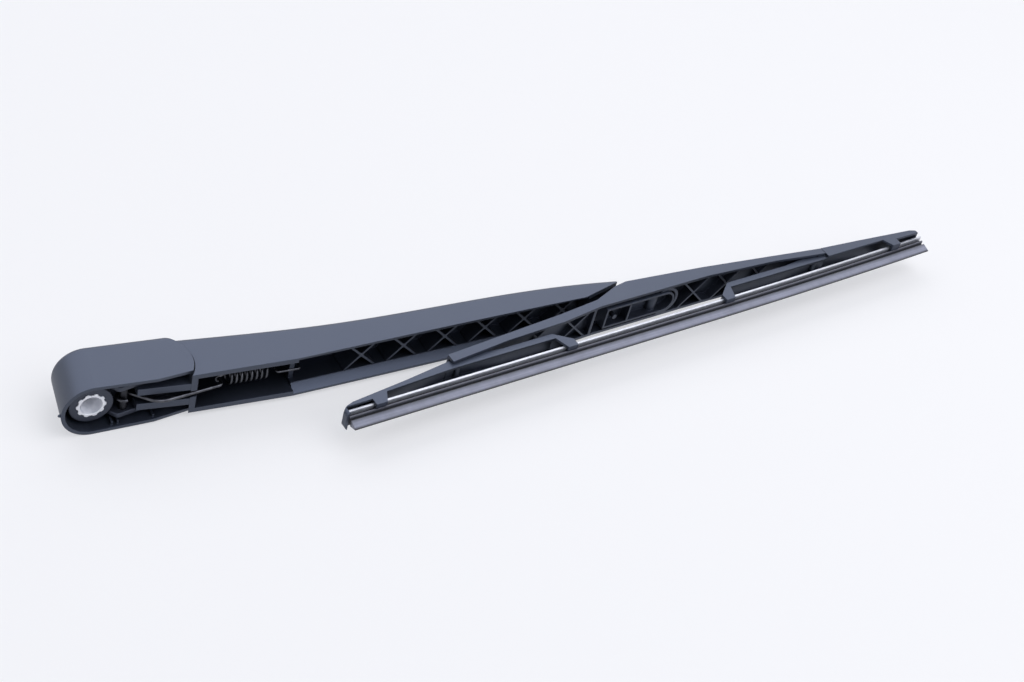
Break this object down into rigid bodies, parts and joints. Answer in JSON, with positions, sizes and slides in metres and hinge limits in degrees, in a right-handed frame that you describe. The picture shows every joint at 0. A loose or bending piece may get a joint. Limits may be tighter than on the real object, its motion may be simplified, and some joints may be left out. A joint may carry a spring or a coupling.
{
  "type": "wiper arm",
  "caption": "Rear window wiper arm with a hinged, spring-loaded moulded arm, a flip-up cover over the spindle nut and a pivoting blade with levers and a rubber squeegee.",
  "frame": {"origin": "centre of the spindle bore on the bush's glass-side face", "axes": "+X along the arm to its tip, +Y away from the glass along the spindle, +Z across the arm to its upper side wall"},
  "size_m": [0.5095, 0.0681, 0.0294],
  "materials": {
    "plastic": "fine moulded grain",
    "cast_metal": "black coat on a casting",
    "bush_metal": "turned",
    "steel": "plated wire and pins",
    "strip_steel": "bright rolled strip",
    "rubber": "graphite dusted"
  },
  "bodies": {
    "head": {"head_body": "cast_metal", "spline_bush": "bush_metal", "hinge_pin_upper": "steel", "hinge_pin_lower": "steel", "anchor_pin": "steel"},
    "cover": {"head_cover": "plastic"},
    "arm": {"arm_channel": "plastic", "pivot_clip": "plastic"},
    "hook": {"tension_hook": "steel", "tension_spring": "steel"},
    "bridge": {"main_bridge": "plastic", "blade_pin": "steel", "left_lever_pin": "steel", "right_lever_pin": "steel", "squeegee_rubber": "rubber", "flexor_upper": "strip_steel", "flexor_lower": "strip_steel"},
    "left_lever": {"left_lever": "plastic"},
    "right_lever": {"right_lever": "plastic"}
  },
  "joints": [
    {"name": "arm_lift", "type": "hinge", "parent": "head", "child": "arm", "pos_m": [0.031, 0.008, 0], "axis": [0, 0, 1], "range_deg": [0, 35], "deforming": ["tension_spring"]},
    {"name": "hook_swing", "type": "hinge", "parent": "head", "child": "hook", "pos_m": [0.0154, 0.0027, 0], "axis": [0, 0, 1], "range_deg": [0, 28.5]},
    {"name": "cover_flip", "type": "hinge", "parent": "head", "child": "cover", "pos_m": [0.031, 0.008, 0], "axis": [0, 0, 1], "range_deg": [-20, 0]},
    {"name": "blade_pivot", "type": "hinge", "parent": "arm", "child": "bridge", "pos_m": [0.304, 0.0087, 0], "axis": [0, 0, 1], "range_deg": [-1.5, 25]},
    {"name": "left_lever_rock", "type": "hinge", "parent": "bridge", "child": "left_lever", "pos_m": [0.17666, -0.01631, 0], "axis": [0, 0, 1], "range_deg": [-3, 3], "deforming": ["squeegee_rubber", "flexor_upper", "flexor_lower"]},
    {"name": "right_lever_rock", "type": "hinge", "parent": "bridge", "child": "right_lever", "pos_m": [0.41572, 0.01423, 0], "axis": [0, 0, 1], "range_deg": [-3, 3], "deforming": ["squeegee_rubber", "flexor_upper", "flexor_lower"]}
  ],
  "couplings": [
    {"joint": "hook_swing", "follows": "arm_lift", "ratio": 0.8}
  ]
}
